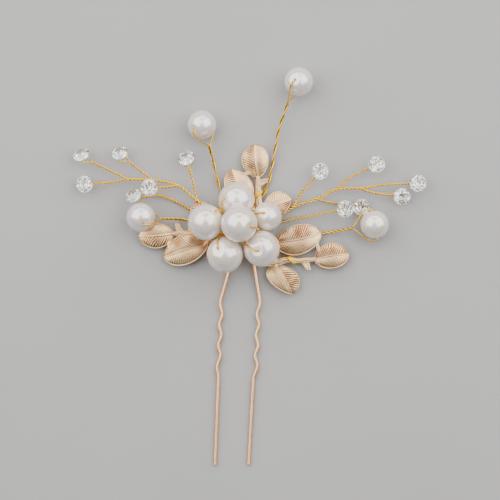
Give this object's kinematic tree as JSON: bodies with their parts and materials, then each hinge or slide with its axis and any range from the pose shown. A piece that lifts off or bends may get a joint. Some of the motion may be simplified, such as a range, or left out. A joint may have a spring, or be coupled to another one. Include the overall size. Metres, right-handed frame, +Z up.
{
  "type": "decorative hair pin",
  "caption": "Two-legged wire hair pin with crimped legs and a spray of threaded pearls, faceted stones on twisted wire sprigs and stamped metal leaves.",
  "frame": {"origin": "on the surface that the pin lies on, under the middle of its overall length and width", "axes": "+Y from the leg tips to the crown, +X to the right as seen from above, +Z up towards the pearls"},
  "size_m": [0.0978, 0.1101, 0.0209],
  "materials": {
    "rose_gold": "polished",
    "gold_wire": "polished",
    "stamped_leaf": "satin",
    "pearl": "pearlescent",
    "crystal": "polished"
  },
  "bodies": {
    "spray": {"hair_pin": "rose_gold", "crown_winding": "gold_wire", "leaf_branch_top": "stamped_leaf", "leaf_lashing_top": "gold_wire", "leaf_branch_left": "stamped_leaf", "leaf_lashing_left": "gold_wire", "leaf_branch_right": "stamped_leaf", "leaf_lashing_right": "gold_wire", "wire_pearl_centre": "gold_wire", "wire_pearl_top": "gold_wire", "wire_pearl_left": "gold_wire", "wire_pearl_lower_left": "gold_wire", "wire_pearl_lower_right": "gold_wire", "wire_pearl_right": "gold_wire", "stem_a": "gold_wire", "stem_b": "gold_wire", "stem_c": "gold_wire", "stem_d": "gold_wire", "sprig_left": "gold_wire", "sprig_right": "gold_wire", "crystal_l1": "crystal", "twig_l1": "gold_wire", "crystal_l2": "crystal", "twig_l2": "gold_wire", "crystal_l3": "crystal", "twig_l3": "gold_wire", "crystal_l4": "crystal", "twig_l4": "gold_wire", "crystal_l5": "crystal", "twig_l5": "gold_wire", "crystal_l6": "crystal", "twig_l6": "gold_wire", "crystal_r1": "crystal", "twig_r1": "gold_wire", "crystal_r2": "crystal", "twig_r2": "gold_wire", "crystal_r3": "crystal", "twig_r3": "gold_wire", "crystal_r4": "crystal", "twig_r4": "gold_wire", "crystal_r5": "crystal", "twig_r5": "gold_wire", "crystal_r6": "crystal", "twig_r6": "gold_wire"},
    "pearl_centre": {"pearl_centre": "pearl"},
    "pearl_top": {"pearl_top": "pearl"},
    "pearl_left": {"pearl_left": "pearl"},
    "pearl_lower_left": {"pearl_lower_left": "pearl"},
    "pearl_lower_right": {"pearl_lower_right": "pearl"},
    "pearl_right": {"pearl_right": "pearl"},
    "pearl_stem_a": {"pearl_stem_a": "pearl"},
    "pearl_stem_b": {"pearl_stem_b": "pearl"},
    "pearl_stem_c": {"pearl_stem_c": "pearl"},
    "pearl_stem_d": {"pearl_stem_d": "pearl"}
  },
  "joints": [
    {"name": "pearl_centre_spin", "type": "hinge", "parent": "spray", "child": "pearl_centre", "pos_m": [-0.003, 0.0117, 0.0159], "axis": [0.6568, -0.1402, 0.7409], "continuous": true},
    {"name": "pearl_top_spin", "type": "hinge", "parent": "spray", "child": "pearl_top", "pos_m": [-0.0037, 0.0184, 0.0083], "axis": [-0.7211, 0.0501, 0.691], "continuous": true},
    {"name": "pearl_left_spin", "type": "hinge", "parent": "spray", "child": "pearl_left", "pos_m": [-0.0122, 0.0122, 0.0108], "axis": [0.5484, 0.6481, 0.5284], "continuous": true},
    {"name": "pearl_lower_left_spin", "type": "hinge", "parent": "spray", "child": "pearl_lower_left", "pos_m": [-0.0069, 0.0033, 0.0106], "axis": [-0.4211, 0.3609, 0.8321], "continuous": true},
    {"name": "pearl_lower_right_spin", "type": "hinge", "parent": "spray", "child": "pearl_lower_right", "pos_m": [0.0032, 0.0049, 0.0106], "axis": [-0.2499, -0.1299, 0.9595], "continuous": true},
    {"name": "pearl_right_spin", "type": "hinge", "parent": "spray", "child": "pearl_right", "pos_m": [0.0048, 0.0138, 0.0084], "axis": [-0.2501, 0.2501, 0.9354], "continuous": true},
    {"name": "pearl_stem_a_spin", "type": "hinge", "parent": "spray", "child": "pearl_stem_a", "pos_m": [-0.0302, 0.0136, 0.0058], "axis": [0.2243, -0.4985, 0.8374], "continuous": true},
    {"name": "pearl_stem_b_spin", "type": "hinge", "parent": "spray", "child": "pearl_stem_b", "pos_m": [-0.0133, 0.0392, 0.0042], "axis": [-0.6498, -0.3499, 0.6748], "continuous": true},
    {"name": "pearl_stem_c_spin", "type": "hinge", "parent": "spray", "child": "pearl_stem_c", "pos_m": [0.0135, 0.0511, 0.0053], "axis": [-0.3002, 0.1251, 0.9456], "continuous": true},
    {"name": "pearl_stem_d_spin", "type": "hinge", "parent": "spray", "child": "pearl_stem_d", "pos_m": [0.0345, 0.0116, 0.0042], "axis": [-0.2, 0.9798, 0], "continuous": true}
  ]
}
